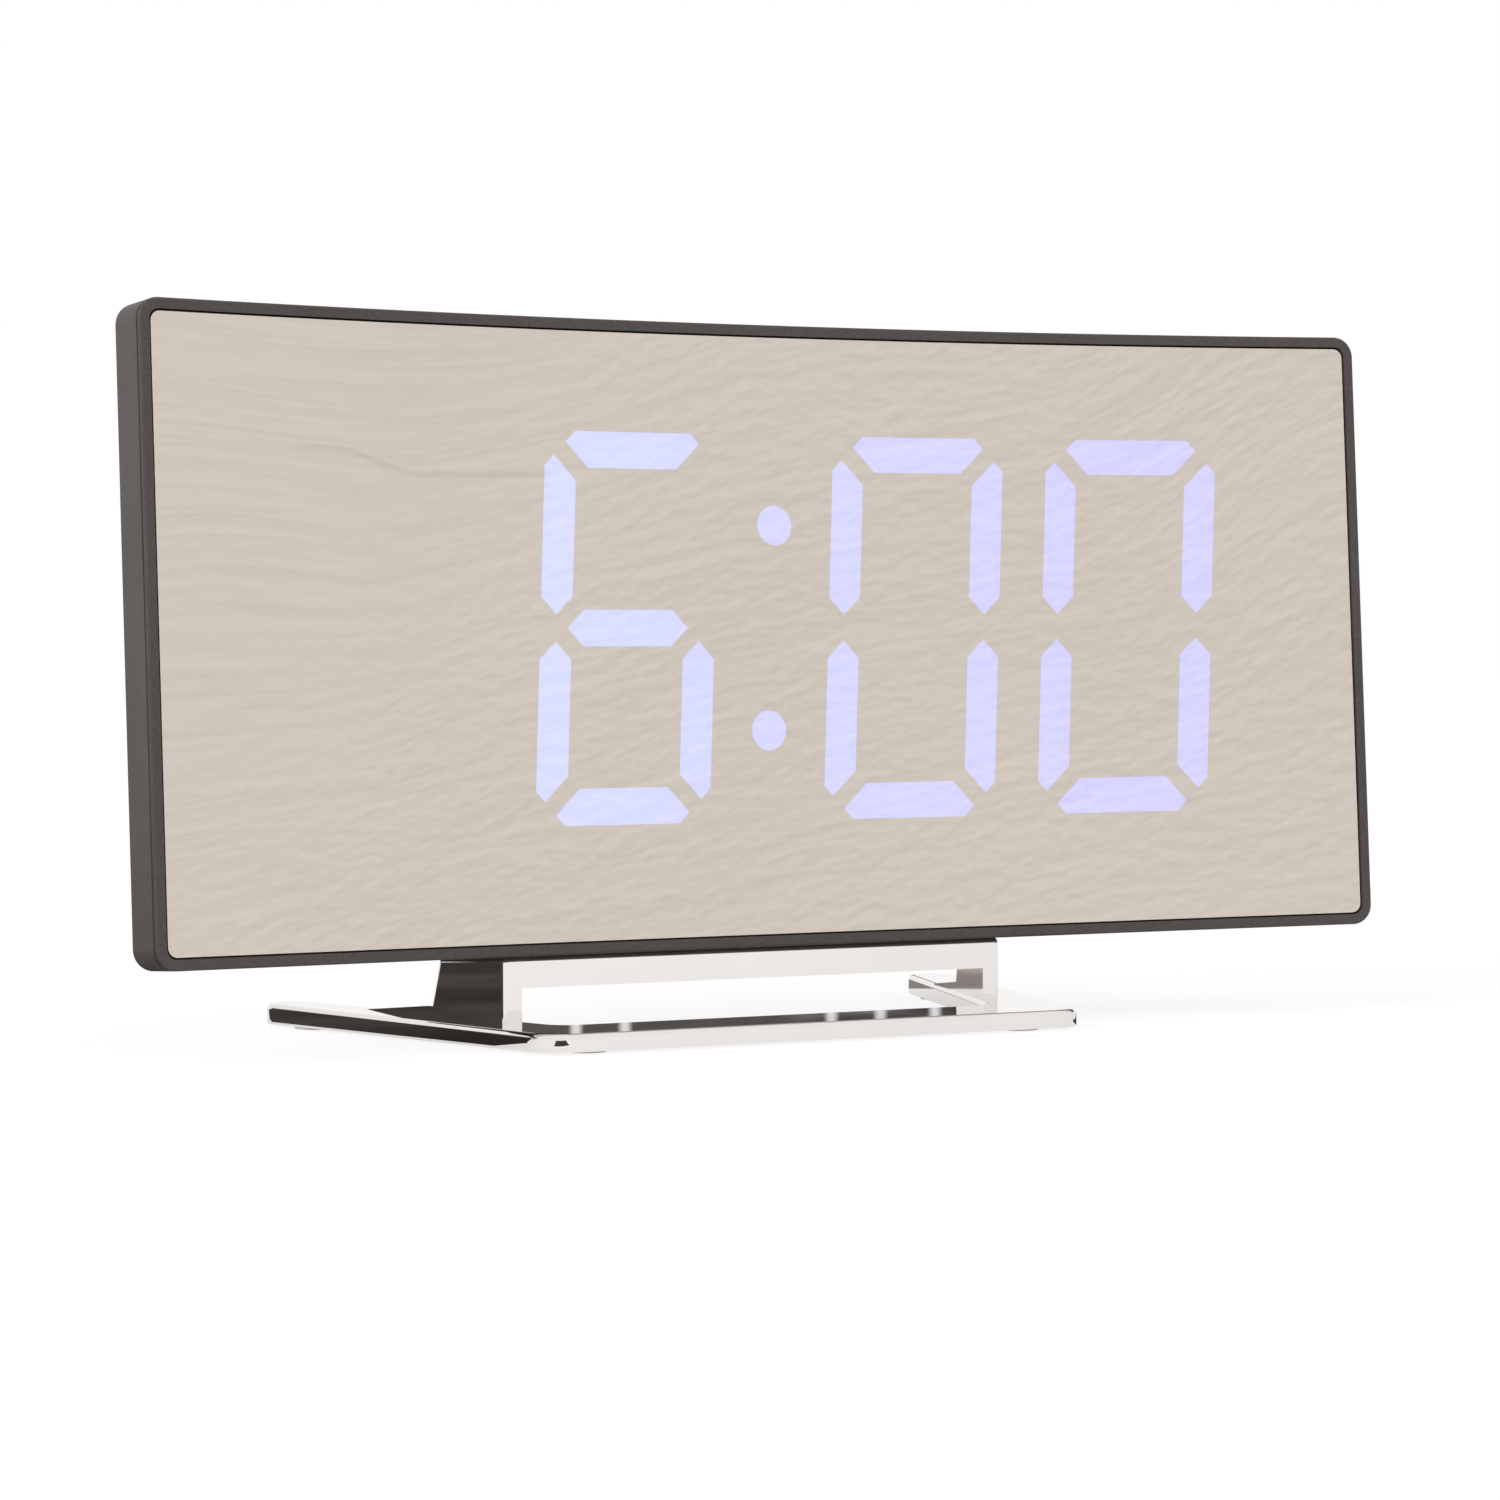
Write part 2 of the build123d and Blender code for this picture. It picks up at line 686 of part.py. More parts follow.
def stand_bridge():
    drop = tan(radians(lean))
    profile = [(bridge_front, plinth_height), (bridge_front, seat_height),
               (bridge_front + bridge_top_depth, seat_height - bridge_top_depth * drop),
               (bridge_back, plinth_height)]
    bridge = upright(splayed(bridge_width / 2), plinth_height, seat_height) & side_profile(profile)
    raised = [edge for edge in bridge.edges() if edge.center().Z > plinth_height + fit]
    bridge = fillet(raised, bridge_round)
    reach = bridge_depth
    bridge -= upright(splayed(bridge_width / 2 - bridge_wall - reach * splay, front=bridge_front - reach,
                              back=bridge_back + reach), plinth_height - overlap, opening_top)
    for leg in mirrored(tenon(0)):
        bridge += leg
    for x in (-tab_position, tab_position):
        tab = block(x - tab_width / 2, x + tab_width / 2, tab_y - tab_depth / 2, tab_y + tab_depth / 2,
                    case_bottom - tab_root, case_bottom + tab_height)
        bridge += case_place * tab
    add("stand_bridge", bridge)


def foot_pad_places():
    half = foot_depth / 2
    front_x = foot_inner_front / 2
    tip_y = half - pad_tip_inset
    share = (tip_y + half) / foot_depth
    outer = foot_front_width / 2 + (foot_back_width - foot_front_width) / 2 * share
    inner_share = (tip_y + half - foot_bar) / (foot_depth - foot_bar)
    inner = foot_inner_front / 2 + (foot_inner_back - foot_inner_front) / 2 * inner_share
    tip_x = (outer + inner) / 2
    places = ((front_x, pad_front_inset - half), (tip_x, tip_y))
    return [(side * x, y) for x, y in places for side in (-1, 1)]


def stand_foot():
    half = foot_depth / 2
    outline = Polygon((-foot_front_width / 2, -half), (foot_front_width / 2, -half),
                      (foot_back_width / 2, half), (foot_inner_back / 2, half),
                      (foot_inner_front / 2, foot_bar - half),
                      (-foot_inner_front / 2, foot_bar - half), (-foot_inner_back / 2, half),
                      (-foot_back_width / 2, half), align=None)
    rows = outline.vertices().group_by(Axis.Y)
    outline = fillet(rows[0], foot_front_corner)
    inner = outline.vertices().filter_by_position(Axis.Y, foot_bar - half - fit, foot_bar - half + fit)
    outline = fillet(inner, foot_inner_corner)
    outline = fillet(outline.vertices().group_by(Axis.Y)[-1], foot_tip_corner)
    foot = Pos(0, 0, pad_proud) * extrude(outline, amount=foot_front_height + foot_tip_height)
    profile = [(-half - overlap, 0), (-half - overlap, foot_top(-half - overlap)),
               (half + overlap, foot_top(half + overlap)), (half + overlap, 0)]
    foot &= side_profile(profile)
    foot = fillet(foot.faces().sort_by(Axis.Z)[-1].edges(), foot_round)

    # Low plinths under the bridge's legs, running out into ramps behind it
    plinth = upright(leg_strip(0, bridge_wall, bridge_front, bridge_back), pad_proud + overlap,
                     plinth_height)
    front_edges = plinth.edges().filter_by(Axis.Z).group_by(Axis.Y)[0]
    plinth = fillet(front_edges.sort_by(Axis.X)[-1], bridge_round)
    ramp_end = bridge_back + ramp_length
    ramp = upright(leg_strip(0, bridge_wall, bridge_back, ramp_end), pad_proud + overlap, plinth_height)
    ramp &= side_profile([(bridge_back, 0), (bridge_back, plinth_height), (ramp_end, foot_top(ramp_end)),
                          (ramp_end, 0)])
    for solid in mirrored(plinth + ramp):
        foot += solid
    for solid in mirrored(tenon(fit)):
        foot -= solid
    pads = []
    for x, y in foot_pad_places():
        pocket = Pos(x, y, pad_height / 2) * Cylinder(pad_radius + pad_fit, pad_height)
        foot -= pocket
        pads.append(Pos(x, y, pad_height / 2) * Cylinder(pad_radius, pad_height))
    add("stand_foot", foot)
    add("foot_pads", *pads)


# The case leans back about its seat on the bridge
seat = Pos(0, bridge_front, seat_height)
case_place = seat * Rot(-lean, 0, 0) * Pos(0, -bridge_inset, -case_bottom)

front_bezel()
mirror_panel()
display_stack()
rear_shell()
control_electronics()
keys()
battery_set()
battery_door()
fasteners()
parts = {name: [case_place * solid for solid in solids] for name, solids in parts.items()}
stand_bridge()
stand_foot()

os.makedirs("parts", exist_ok=True)
for name, solids in parts.items():
    shape = solids[0] if len(solids) == 1 else Compound(children=solids)
    export_step(shape, os.path.join("parts", name + ".step"))
print(len(parts), "nodes")
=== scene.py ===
import json
from math import atan2, cos, radians, sin, sqrt

import bmesh
import bpy
from mathutils import Matrix, Vector


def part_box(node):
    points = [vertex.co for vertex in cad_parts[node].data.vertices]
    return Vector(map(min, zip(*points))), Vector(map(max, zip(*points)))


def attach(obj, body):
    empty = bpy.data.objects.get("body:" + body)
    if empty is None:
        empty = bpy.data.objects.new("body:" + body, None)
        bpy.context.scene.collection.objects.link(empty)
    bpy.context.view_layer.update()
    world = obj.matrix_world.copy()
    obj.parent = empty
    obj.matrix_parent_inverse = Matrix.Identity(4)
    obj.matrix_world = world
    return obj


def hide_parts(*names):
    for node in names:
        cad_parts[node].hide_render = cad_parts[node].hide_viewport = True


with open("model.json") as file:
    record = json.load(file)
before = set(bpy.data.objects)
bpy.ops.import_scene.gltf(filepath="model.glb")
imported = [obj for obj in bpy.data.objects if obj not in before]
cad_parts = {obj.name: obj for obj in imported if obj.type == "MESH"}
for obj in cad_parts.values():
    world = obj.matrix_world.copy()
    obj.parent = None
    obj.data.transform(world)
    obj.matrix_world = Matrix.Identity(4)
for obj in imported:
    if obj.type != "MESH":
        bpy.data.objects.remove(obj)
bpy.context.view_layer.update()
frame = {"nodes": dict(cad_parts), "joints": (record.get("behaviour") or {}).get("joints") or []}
nodes = frame["nodes"]
print("frame loaded,", len(nodes), "nodes")


class Wire:  # one output socket of a node tree; sums on it add Math nodes
    def __init__(self, tree, socket):
        self.tree = tree
        self.socket = socket

    def sum(self, operation, first, second):
        return self.tree.node("ShaderNodeMath", {"operation": operation}, {0: first, 1: second})

    def __add__(self, other):
        return self.sum("ADD", self, other)

    def __radd__(self, other):
        return self.sum("ADD", other, self)

    def __sub__(self, other):
        return self.sum("SUBTRACT", self, other)

    def __rsub__(self, other):
        return self.sum("SUBTRACT", other, self)

    def __mul__(self, other):
        return self.sum("MULTIPLY", self, other)

    def __rmul__(self, other):
        return self.sum("MULTIPLY", other, self)

    def __abs__(self):
        return self.tree.node("ShaderNodeMath", {"operation": "ABSOLUTE"}, {0: self})


class Tree:  # a node tree that is written as expressions
    def __init__(self, owner):
        owner.use_nodes = True
        self.owner = owner
        self.nodeTree = owner.node_tree
        self.nodeTree.nodes.clear()

    def node(self, kind, settings, sockets, result=0):
        made = self.nodeTree.nodes.new(kind)
        for name, value in settings.items():
            setattr(made, name, value)
        for name, value in sockets.items():
            if isinstance(value, Wire):
                self.nodeTree.links.new(value.socket, made.inputs[name])
            elif isinstance(value, tuple) and made.inputs[name].type == "RGBA":
                made.inputs[name].default_value = (*value, 1)
            else:
                made.inputs[name].default_value = value
        return Wire(self, made.outputs[result]) if made.outputs else None

    def own(self):  # Object coordinates, in metres
        return self.node("ShaderNodeTexCoord", {}, {}, "Object")

    def place(self, scale=(1, 1, 1), turn=(0, 0, 0), shift=(0, 0, 0), at=None):  # stretched and turned
        return self.node("ShaderNodeMapping", {}, {"Vector": at or self.own(), "Rotation": turn,
                                                   "Scale": scale, "Location": shift})

    def split(self, at):
        made = self.node("ShaderNodeSeparateXYZ", {}, {0: at})
        return [Wire(self, socket) for socket in made.socket.node.outputs]

    def distance(self, first, second):  # of a point from the axis of two coordinates
        return self.node("ShaderNodeMath", {"operation": "SQRT"}, {0: first * first + second * second})

    def noise(self, at, scale, detail=2.0, warp=0.0):
        return self.node("ShaderNodeTexNoise", {}, {"Vector": at, "Scale": scale, "Detail": detail,
                                                    "Distortion": warp})

    def ranged(self, value, low, high, start, end):  # value from low to high becomes start to end
        return self.node("ShaderNodeMapRange", {"interpolation_type": "SMOOTHSTEP"},
                         {"Value": value, "From Min": low, "From Max": high, "To Min": start, "To Max": end})

    def stretched(self, noise, start=0.0, end=1.0):  # nearly all of a noise lies between 0.3 and 0.7
        return self.ranged(noise, 0.3, 0.7, start, end)

    def blend(self, share, first, second):  # colours
        return self.node("ShaderNodeMix", {"data_type": "RGBA"}, {0: share, 6: first, 7: second}, 2)

    def mottled(self, share, colour, spread):  # a colour that turns darker and lighter by spread
        return self.blend(share, tinted(colour, 1 - spread), tinted(colour, 1 + spread))

    def bump(self, height, distance, strength=1.0):
        return self.node("ShaderNodeBump", {}, {"Height": height, "Distance": distance, "Strength": strength})

    def surface(self, **sockets):
        named = {name.replace("_", " "): value for name, value in sockets.items()}
        shader = self.node("ShaderNodeBsdfPrincipled", {}, named)
        self.node("ShaderNodeOutputMaterial", {}, {"Surface": shader})


def finish(name):
    return Tree(bpy.data.materials.new(name))


def wear(tree, names):  # gives CAD nodes their material
    for name in names:
        mesh = nodes[name].data
        mesh.materials.clear()
        mesh.materials.append(tree.owner)


def tinted(colour, level):
    return tuple(channel * level for channel in colour)


def addObject(name, data):
    made = bpy.data.objects.new(name, data)
    bpy.context.scene.collection.objects.link(made)
    return made


def meshObject(name, bm):
    mesh = bpy.data.meshes.new(name)
    bm.to_mesh(mesh)
    bm.free()
    return addObject(name, mesh)


# Case, keys and door: spark-textured moulded plastic
casePlastic = {"colour": (0.05, 0.042, 0.039), "keyColour": (0.032, 0.028, 0.027), "mottle": 0.2,
               "cloudSize": 55, "grainSize": 2600, "pitSize": 1040, "cloudTone": 0.4, "grainTone": 0.6,
               "grainHeight": 0.6, "pitHeight": 0.4, "bumpDepth": 0.00006, "bumpStrength": 0.5,
               "rough": (0.5, 0.64), "gloss": 0.35}
seam = {"radius": 0.5554, "lean": radians(3.7), "shift": 0.01903, "start": 0.00055, "end": 0.0012,
        "soft": 0.0001, "shade": 0.45}


def paintedSeamShade(tree):  # where painted shade darkens the groove between the bezel and the shell, from how deep a point lies
    middle = (0, seam["shift"] + seam["radius"], 0)
    across, depth = tree.split(tree.place(turn=(seam["lean"], 0, 0), shift=middle))[:2]
    inside = tree.distance(across, depth) - seam["radius"]
    start, end, soft = seam["start"], seam["end"], seam["soft"]
    opened = tree.ranged(inside, start - soft, start + soft, 0.0, 1.0)
    return opened * tree.ranged(inside, end - soft, end + soft, 1.0, 0.0)


def mouldedPlastic(name, colour):
    tree = finish(name)
    at = tree.place()
    cloud = tree.noise(at, casePlastic["cloudSize"], 3)
    grain = tree.noise(at, casePlastic["grainSize"], 2)
    pits = tree.noise(at, casePlastic["pitSize"], 1)
    shade = tree.stretched(cloud * casePlastic["cloudTone"] + grain * casePlastic["grainTone"])
    tone = tree.mottled(shade, colour, casePlastic["mottle"])
    # painted shade: the colour turns darker in the groove between the bezel and the shell
    tone = tree.blend(paintedSeamShade(tree), tone, tinted(colour, seam["shade"]))
    height = grain * casePlastic["grainHeight"] + pits * casePlastic["pitHeight"]
    tree.surface(Base_Color=tone, Roughness=tree.stretched(cloud, *casePlastic["rough"]),
                 Specular_IOR_Level=casePlastic["gloss"],
                 Normal=tree.bump(height, casePlastic["bumpDepth"], casePlastic["bumpStrength"]))
    return tree


keyCaps = [name for name in nodes if name.endswith("_button")]
wear(mouldedPlastic("case plastic", casePlastic["colour"]), ["front_bezel", "rear_shell", "battery_door"])
wear(mouldedPlastic("key plastic", casePlastic["keyColour"]), keyCaps)
print("case finished")

# Half-mirror: a metal film on a bent clear sheet. It is a little wavy, and that waviness is painted into its
# colour as reflected light and shade; part of the light passes through
mirrorSheet = {"radius": 0.5555, "thickness": 0.001, "corner": 0.0013, "cornerSteps": 8, "steps": 96,
               "gap": 0.00017, "cutReach": 1e-7, "sharp": radians(30), "edge": (0.006, 0.006, 0.006),
               "back": (0.8, 0.8, 0.8), "clear": 0.04, "hazeSize": 90, "haze": 0.1, "rough": 0.4}
mirrorFilm = {"colour": (0.8, 0.715, 0.63), "shown": 0.78, "rough": 0.05, "contrast": 0.062, "paintedWaveShade": 0.42,
              "climb": 0.24, "climbSlope": 0.9, "climbStart": 0.1095, "climbSoft": 0.03,
              "curl": 0.009, "curlAcross": (0.045, 0.095), "curlUp": (0.03, 0.09),
              "sway": 0.012, "swaySize": 15, "drop": 0.3, "cloudSize": 24, "cloudWeight": 0.3}
paintedLineShade = {"scale": (12, 1, 640), "detail": 2, "weight": 0.7, "lost": 0.75}
paintedStreakShade = {"scale": (34, 1, 230), "detail": 3, "weight": 0.7}
paintedPebbleShade = {"scale": (270, 1, 520), "detail": 1, "weight": 1.2, "least": 0.15}
paintedCreaseShade = {"height": 0.0752, "rise": 0.0033, "riseAcross": (-0.052, -0.066), "sway": 0.1, "shade": 0.5,
              "share": 0.16, "width": (0.0001, 0.0007), "left": (-0.074, -0.068), "right": (-0.036, -0.03)}


def paintedWaveShade(tree, at, wave):  # painted light and shade: the lit-from-above look of a wavy surface
    raised = tree.place(wave["scale"], shift=(0, 0, mirrorFilm["drop"]), at=at)
    level = tree.place(wave["scale"], at=at)
    return tree.noise(raised, 1, wave["detail"]) - tree.noise(level, 1, wave["detail"])


def halfMirror():
    tree = finish("half mirror film")
    own = tree.own()
    across, up = tree.split(own)[::2]

    # The painted reflection's lines lie level at the upper left and rise right of there
    turned = across - up * mirrorFilm["climbSlope"] + mirrorFilm["climbStart"]
    share = tree.ranged(turned, -mirrorFilm["climbSoft"], mirrorFilm["climbSoft"], 0.0, 1.0)
    climb = mirrorFilm["climb"] * share * turned
    curl = mirrorFilm["curl"] * tree.ranged(across, *mirrorFilm["curlAcross"], 0.0, 1.0)
    curl = curl * tree.ranged(up, *mirrorFilm["curlUp"], 0.0, 1.0)
    sway = (tree.noise(own, mirrorFilm["swaySize"], 1) - 0.5) * mirrorFilm["sway"]
    flow = tree.node("ShaderNodeCombineXYZ", {}, {0: across, 1: 0.0, 2: up - climb - curl + sway})
    lines = paintedWaveShade(tree, flow, paintedLineShade) * (1 - paintedLineShade["lost"] * share)
    streaks = paintedWaveShade(tree, flow, paintedStreakShade)
    pebbles = paintedWaveShade(tree, flow, paintedPebbleShade) * (paintedPebbleShade["least"] + (1 - paintedPebbleShade["least"]) * share)
    cloud = tree.noise(own, mirrorFilm["cloudSize"], 2)
    # painted reflection: the waves' light and shade are mixed into the film's colour
    height = lines * paintedLineShade["weight"] + streaks * paintedStreakShade["weight"] + pebbles * paintedPebbleShade["weight"]
    height = height + (cloud - 0.5) * mirrorFilm["cloudWeight"]
    shade = tree.ranged(height, -mirrorFilm["paintedWaveShade"], mirrorFilm["paintedWaveShade"], 0.0, 1.0)
    tone = tree.mottled(shade, mirrorFilm["colour"], mirrorFilm["contrast"])

    # Painted shade of one faint crease near the upper left: a darker line in the film's reflection
    rise = paintedCreaseShade["rise"] * tree.ranged(across, *paintedCreaseShade["riseAcross"], 0.0, 1.0)
    away = abs(up - paintedCreaseShade["height"] - rise + sway * paintedCreaseShade["sway"])
    ends = tree.ranged(across, *paintedCreaseShade["left"], 0.0, 1.0)
    ends = ends * tree.ranged(across, *paintedCreaseShade["right"], 1.0, 0.0)
    paintedCrease = tree.ranged(away, *paintedCreaseShade["width"], paintedCreaseShade["share"], 0.0) * ends
    tone = tree.blend(paintedCrease, tone, tinted(mirrorFilm["colour"], paintedCreaseShade["shade"]))
    tree.surface(Base_Color=tone, Metallic=1.0, Roughness=mirrorFilm["rough"], Alpha=mirrorFilm["shown"])
    return tree.owner


def sheetFinish(name, colour, shown):
    tree = finish(name)
    haze = tree.stretched(tree.noise(tree.place(), mirrorSheet["hazeSize"], 2))
    tone = tree.mottled(haze, colour, mirrorSheet["haze"])
    tree.surface(Base_Color=tone, Roughness=mirrorSheet["rough"], Alpha=shown)
    return tree.owner


def mirrorPanel():
    low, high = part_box("mirror_panel")
    size = high - low
    axis = frame["joints"][-1]["axis"]  # the door slides off square to the leaning case
    lean = atan2(-axis[2], axis[1])
    height = (size.z * cos(lean) - size.y * sin(lean)) / cos(2 * lean)
    radius, thickness, gap = mirrorSheet["radius"], mirrorSheet["thickness"], mirrorSheet["gap"]
    bm = bmesh.new()
    bmesh.ops.create_grid(bm, x_segments=1, y_segments=1, size=0.5)
    flat = Matrix.Rotation(radians(90), 4, "X") @ Matrix.Diagonal((size.x - 2 * gap, height - 2 * gap, 1, 1))
    bmesh.ops.transform(bm, matrix=flat, verts=bm.verts)
    bmesh.ops.bevel(bm, geom=bm.verts[:], offset=mirrorSheet["corner"], affect="VERTICES",
                    segments=mirrorSheet["cornerSteps"], profile=0.5, material=-1)
    steps = mirrorSheet["steps"]
    cuts = [size.x * (step / steps - 0.5) for step in range(1, steps)] + [vert.co.x for vert in bm.verts]
    for cut in cuts:  # upright strips, so that the sheet bends evenly
        bmesh.ops.bisect_plane(bm, geom=[*bm.verts, *bm.edges, *bm.faces], dist=mirrorSheet["cutReach"],
                               plane_co=(cut, 0, 0), plane_no=(1, 0, 0))
    made = bmesh.ops.extrude_face_region(bm, geom=bm.faces[:], use_keep_orig=True)["geom"]
    backVerts = [item for item in made if isinstance(item, bmesh.types.BMVert)]
    bmesh.ops.translate(bm, vec=(0, thickness, 0), verts=backVerts)
    bmesh.ops.recalc_face_normals(bm, faces=bm.faces)
    for face in bm.faces:  # film in front, painted rim, clear back
        depths = [vert.co.y for vert in face.verts]
        if max(depths) < thickness / 4:
            face.material_index = 0
        elif min(depths) > thickness * 3 / 4:
            face.material_index = 2
        else:
            face.material_index = 1
        face.smooth = True
    for vert in bm.verts:
        vert.co.y = sqrt((radius + vert.co.y) ** 2 - vert.co.x ** 2) - radius
    turn = Matrix.Rotation(-lean, 4, "X")
    turned = [turn @ vert.co for vert in bm.verts]
    shift = [low[side] + gap - min(place[side] for place in turned) for side in range(3)]
    bmesh.ops.transform(bm, verts=bm.verts, matrix=Matrix.Translation(shift) @ turn)
    panel = meshObject("mirror", bm)
    panel.data.set_sharp_from_angle(angle=mirrorSheet["sharp"])
    for material in (halfMirror(), sheetFinish("mirror rim paint", mirrorSheet["edge"], 1.0),
                     sheetFinish("clear sheet", mirrorSheet["back"], mirrorSheet["clear"])):
        panel.data.materials.append(material)
    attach(panel, "case")
    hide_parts("mirror_panel")
    print("mirror:", len(panel.data.polygons), "faces")


mirrorPanel()

# Display behind the mirror
display = {"leftLight": (0.09, 0.23, 0.8), "rightLight": (0.045, 0.115, 0.8), "strength": 3.0,
           "reach": 0.07, "body": (0.5, 0.5, 0.55), "rough": 0.4, "cloudSize": 140, "cloudShift": 0.03}


def litDiffuser():
    tree = finish("lit diffuser")
    at = tree.own()
    across = tree.split(at)[0]
    shift = (tree.noise(at, display["cloudSize"], 2) - 0.5) * display["cloudShift"]
    share = tree.ranged(across + shift, -display["reach"], display["reach"], 0.0, 1.0)
    light = tree.blend(share, display["leftLight"], display["rightLight"])
    tree.surface(Base_Color=display["body"], Roughness=display["rough"], Emission_Color=light,
                 Emission_Strength=display["strength"])
    return tree


# Cells: a printed jacket that leaves the metal ends bare
cell = {"jacket": (0.1, 0.11, 0.14), "metal": (0.72, 0.7, 0.66), "cover": 0.0193, "soft": 0.0001,
        "jacketMetal": 0.5, "rough": 0.3, "rubSize": 160, "rub": (0.7, 1.3)}


def cellJacket():
    tree = finish("cell jacket")
    at = tree.place()
    across = tree.split(at)[0]
    bare = tree.ranged(abs(across), cell["cover"], cell["cover"] + cell["soft"], 0.0, 1.0)
    rub = tree.stretched(tree.noise(at, cell["rubSize"], 3), *cell["rub"])
    tone = tree.blend(bare, cell["jacket"], cell["metal"])
    metal = cell["jacketMetal"] + (1 - cell["jacketMetal"]) * bare
    tree.surface(Base_Color=tone, Metallic=metal, Roughness=cell["rough"] * rub)
    return tree


# Plain speckled finishes of the other works, and the nodes that wear them
speckle = {"roughSpread": 0.15, "depth": 0.00002, "strength": 0.4}
# the unlit segments' diffuser is painted near black, a painted shade that keeps them unseen behind the mirror
works = {"diffuser painted dark": {"colour": (0.03, 0.03, 0.032), "size": 300, "spread": 0.1, "rough": 0.4},
         "black film": {"colour": (0.012, 0.012, 0.013), "size": 500, "spread": 0.2, "rough": 0.7},
         "reflector white": {"colour": (0.8, 0.8, 0.78), "size": 400, "spread": 0.04, "rough": 0.5},
         "board mask": {"colour": (0.02, 0.13, 0.055), "size": 220, "spread": 0.18, "rough": 0.35},
         "component black": {"colour": (0.018, 0.018, 0.02), "size": 600, "spread": 0.2, "rough": 0.5},
         "lamp package": {"colour": (0.85, 0.78, 0.42), "size": 900, "spread": 0.05, "rough": 0.3},
         "ribbon": {"colour": (0.7, 0.7, 0.7), "size": 900, "spread": 0.06, "rough": 0.5},
         "plated spring steel": {"colour": (0.72, 0.72, 0.7), "size": 700, "spread": 0.05, "rough": 0.25,
                                 "metal": 1.0},
         "screw steel": {"colour": (0.42, 0.42, 0.43), "size": 900, "spread": 0.12, "rough": 0.35,
                         "metal": 1.0},
         "pad silicone": {"colour": (0.72, 0.72, 0.7), "size": 900, "spread": 0.05, "rough": 0.6}}
plungers = [name for name in nodes if name.endswith("_plunger")]
wornBy = {"diffuser painted dark": ["dark_segments"],
          "black film": ["segment_mask"],
          "reflector white": ["light_box", "link_sockets"],
          "board mask": ["led_board", "control_board"],
          "component black": ["clock_chips", "switch_housings", "buzzer", "inlet_tongue"] + plungers,
          "lamp package": ["led_chips"],
          "ribbon": ["ribbon_cable"],
          "plated spring steel": ["power_inlet", "spring_contacts", "plate_contacts"],
          "screw steel": ["case_screws", "board_screws"],
          "pad silicone": ["foot_pads"]}


def speckled(name, colour, size, spread, rough, metal=0.0):
    tree = finish(name)
    spots = tree.stretched(tree.noise(tree.place(), size, 3))
    smoothest = rough * (1 - speckle["roughSpread"])
    roughest = rough * (1 + speckle["roughSpread"])
    tree.surface(Base_Color=tree.mottled(spots, colour, spread), Metallic=metal,
                 Roughness=tree.ranged(spots, 0.0, 1.0, smoothest, roughest),
                 Normal=tree.bump(spots, speckle["depth"], speckle["strength"]))
    return tree


wear(litDiffuser(), ["lit_segments", "colon_dots"])
wear(cellJacket(), ["battery_cells"])
for name, look in works.items():
    wear(speckled(name, **look), wornBy[name])
print("display and works finished")

# Stand: bright chrome on moulded plastic
chrome = {"colour": (0.81, 0.78, 0.75), "rough": (0.02, 0.06), "smudgeSize": 38, "smudgeWarp": 0.6,
          "smudgeRange": (0.45, 0.75), "smudgeTone": 0.965, "peelSize": 110, "peelDepth": 0.000006,
          "peelStrength": 0.25}


def chromePlate():
    tree = finish("chrome plate")
    at = tree.place()
    peel = tree.noise(at, chrome["peelSize"], 1)
    smudge = tree.noise(at, chrome["smudgeSize"], 3, chrome["smudgeWarp"])
    dulled = tinted(chrome["colour"], chrome["smudgeTone"])
    tone = tree.blend(tree.stretched(smudge), chrome["colour"], dulled)
    tree.surface(Base_Color=tone, Metallic=1.0,
                 Roughness=tree.ranged(smudge, *chrome["smudgeRange"], *chrome["rough"]),
                 Normal=tree.bump(peel, chrome["peelDepth"], chrome["peelStrength"]))
    return tree


wear(chromePlate(), ["stand_bridge", "stand_foot"])
print("stand finished")

# Stage
stage = {"floorSize": 6.0, "floorColour": (0.88, 0.88, 0.88), "floorGlow": (0.83, 0.97),
         "glowReach": (0.15, 0.5), "floorShine": 1.03, "polishGlow": 0.6, "worldLevel": 0.62}


def seenRays(tree, direct=1.0, polished=1.0):  # rays that should meet the white background
    kinds = ["Is Camera Ray", "Is Transmission Ray", "Is Glossy Ray"]
    camera, through, glossy = [tree.node("ShaderNodeLightPath", {}, {}, kind) for kind in kinds]
    return (camera + through) * direct + glossy * polished


def flatPiece(name, size, place, turn):
    bm = bmesh.new()
    bmesh.ops.create_grid(bm, x_segments=1, y_segments=1, size=0.5)
    matrix = Matrix.Translation(place) @ turn @ Matrix.Diagonal((*size, 1, 1))
    bmesh.ops.transform(bm, matrix=matrix, verts=bm.verts)
    made = meshObject(name, bm)
    return made


def floorFinish():
    tree = finish("floor white")
    cloth = tree.node("ShaderNodeBsdfDiffuse", {}, {"Color": stage["floorColour"]})
    across, along = tree.split(tree.place())[:2]
    direct = tree.ranged(tree.distance(across, along), *stage["glowReach"], *stage["floorGlow"])
    glow = tree.node("ShaderNodeEmission", {}, {"Color": (1, 1, 1), "Strength": stage["floorShine"]})
    seen = seenRays(tree, direct, stage["polishGlow"])
    mixed = tree.node("ShaderNodeMixShader", {}, {0: seen, 1: cloth, 2: glow})
    tree.node("ShaderNodeOutputMaterial", {}, {"Surface": mixed})
    return tree


floor = flatPiece("floor", (stage["floorSize"], stage["floorSize"]), (0, 0, 0), Matrix())
floor.data.materials.append(floorFinish().owner)

worldTree = Tree(bpy.data.worlds.new("studio"))
bpy.context.scene.world = worldTree.owner
fill = worldTree.node("ShaderNodeBackground", {}, {"Color": (1, 1, 1), "Strength": stage["worldLevel"]})
white = worldTree.node("ShaderNodeBackground", {}, {"Color": (1, 1, 1), "Strength": 1.0})
sky = worldTree.node("ShaderNodeMixShader", {}, {0: seenRays(worldTree), 1: fill, 2: white})
worldTree.node("ShaderNodeOutputWorld", {}, {"Surface": sky})

